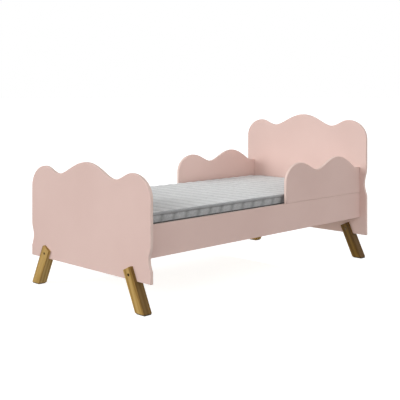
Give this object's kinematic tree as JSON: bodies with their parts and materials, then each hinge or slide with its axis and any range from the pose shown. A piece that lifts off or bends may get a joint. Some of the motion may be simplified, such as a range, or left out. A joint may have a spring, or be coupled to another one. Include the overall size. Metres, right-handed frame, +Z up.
{
  "type": "toddler bed",
  "caption": "Low toddler bed with cloud-edged headboard and footboard, short wavy guard rails at the head end, splayed wooden legs, a slatted base and a loose ribbed mattress.",
  "frame": {"origin": "on the floor under the centre of the bed, at the centre of the bounding box's bottom face", "axes": "+X from the footboard towards the headboard, +Y across the bed towards the left side as seen from the foot, +Z up"},
  "size_m": [1.572, 0.836, 0.764],
  "materials": {
    "painted_mdf": "satin pale pink lacquer on MDF",
    "leg_wood": "stained and lacquered solid wood",
    "slat_pine": "planed bare pine",
    "zinc_steel": "zinc-plated steel",
    "felt": "pressed felt",
    "mattress_fabric": "ribbed light grey mattress fabric"
  },
  "bodies": {
    "frame": {"footboard": "painted_mdf", "headboard": "painted_mdf", "side_rail_left": "painted_mdf", "side_rail_right": "painted_mdf", "guard_rail_left": "painted_mdf", "guard_rail_right": "painted_mdf", "guard_plate_left_front": "zinc_steel", "guard_plate_left_back": "zinc_steel", "guard_plate_right_front": "zinc_steel", "guard_plate_right_back": "zinc_steel", "guard_dowel_left_front": "slat_pine", "guard_dowel_left_back": "slat_pine", "guard_dowel_right_front": "slat_pine", "guard_dowel_right_back": "slat_pine", "leg_foot_left": "leg_wood", "leg_bolt_foot_left": "zinc_steel", "leg_nut_foot_left": "zinc_steel", "felt_pad_foot_left": "felt", "leg_foot_right": "leg_wood", "leg_bolt_foot_right": "zinc_steel", "leg_nut_foot_right": "zinc_steel", "felt_pad_foot_right": "felt", "leg_head_left": "leg_wood", "leg_bolt_head_left": "zinc_steel", "leg_nut_head_left": "zinc_steel", "felt_pad_head_left": "felt", "leg_head_right": "leg_wood", "leg_bolt_head_right": "zinc_steel", "leg_nut_head_right": "zinc_steel", "felt_pad_head_right": "felt", "slat_ledge_left": "slat_pine", "slat_ledge_right": "slat_pine", "slat_01": "slat_pine", "slat_02": "slat_pine", "slat_03": "slat_pine", "slat_04": "slat_pine", "slat_05": "slat_pine", "slat_06": "slat_pine", "slat_07": "slat_pine", "slat_08": "slat_pine", "slat_09": "slat_pine", "slat_10": "slat_pine", "slat_11": "slat_pine", "slat_12": "slat_pine", "corner_bracket_foot_left": "zinc_steel", "board_bolt_foot_left": "zinc_steel", "rail_bolt_foot_left": "zinc_steel", "corner_bracket_foot_right": "zinc_steel", "board_bolt_foot_right": "zinc_steel", "rail_bolt_foot_right": "zinc_steel", "corner_bracket_head_left": "zinc_steel", "board_bolt_head_left": "zinc_steel", "rail_bolt_head_left": "zinc_steel", "corner_bracket_head_right": "zinc_steel", "board_bolt_head_right": "zinc_steel", "rail_bolt_head_right": "zinc_steel"},
    "mattress": {"mattress": "mattress_fabric"}
  },
  "joints": [
    {"name": "mattress_lift", "type": "slide", "parent": "frame", "child": "mattress", "axis": [0, 0, 1], "range_m": [0, 0.35]}
  ]
}
